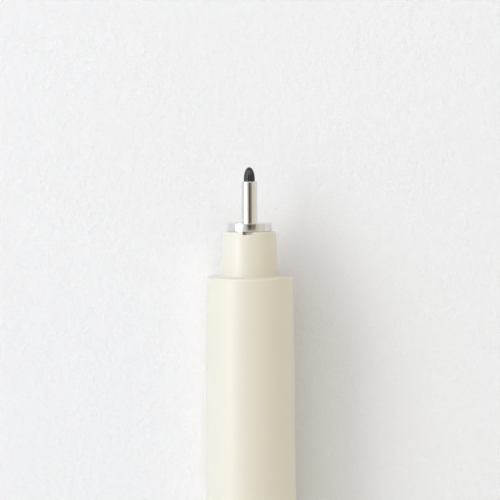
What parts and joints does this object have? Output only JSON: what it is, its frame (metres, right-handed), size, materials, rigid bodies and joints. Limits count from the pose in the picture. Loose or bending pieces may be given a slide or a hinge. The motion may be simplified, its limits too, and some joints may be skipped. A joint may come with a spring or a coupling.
{
  "type": "felt tip marker",
  "caption": "Slim felt tip marker with a steel-sleeved bullet nib, a stepped neck and a smooth round barrel, its clipped cap posted on the tail.",
  "frame": {"origin": "centre of the flat end of the posted cap's crown, on which the marker stands", "axes": "+Z along the pen towards the writing tip, -Y towards the cap's clip"},
  "size_m": [0.0118, 0.0133, 0.1487],
  "materials": {
    "cream_plastic": "satin moulded",
    "section_plastic": "satin moulded",
    "natural_plastic": "soft natural",
    "ink_colour_plastic": "satin moulded",
    "clip_steel": "brushed",
    "tip_steel": "polished",
    "inked_felt": "pressed fibre soaked with ink",
    "ink_fibre": "bonded fibre soaked with ink",
    "clear_film": "clear wrap"
  },
  "bodies": {
    "cap": {"cap_shell": "cream_plastic", "cap_crown": "ink_colour_plastic"},
    "inner_cap": {"inner_cap": "natural_plastic"},
    "pen": {"barrel": "cream_plastic", "front_section": "section_plastic", "nib_collar": "tip_steel", "nib_sleeve": "tip_steel", "nib": "inked_felt", "feed_wick": "inked_felt", "reservoir_core": "ink_fibre", "reservoir_film": "clear_film", "tail_plug": "ink_colour_plastic"},
    "clip": {"clip": "clip_steel"}
  },
  "joints": [
    {"name": "pen_turn", "type": "hinge", "parent": "cap", "child": "inner_cap", "pos_m": [0, 0, 0.0208], "axis": [0, 0, 1], "continuous": true},
    {"name": "pen_draw", "type": "slide", "parent": "inner_cap", "child": "pen", "axis": [0, 0, 1], "range_m": [0, 0.024]},
    {"name": "clip_flex", "type": "hinge", "parent": "cap", "child": "clip", "pos_m": [0, -0.0056, 0.00535], "axis": [1, 0, 0], "range_deg": [0, 4], "stiffness_Nm_per_rad": 1.2}
  ]
}
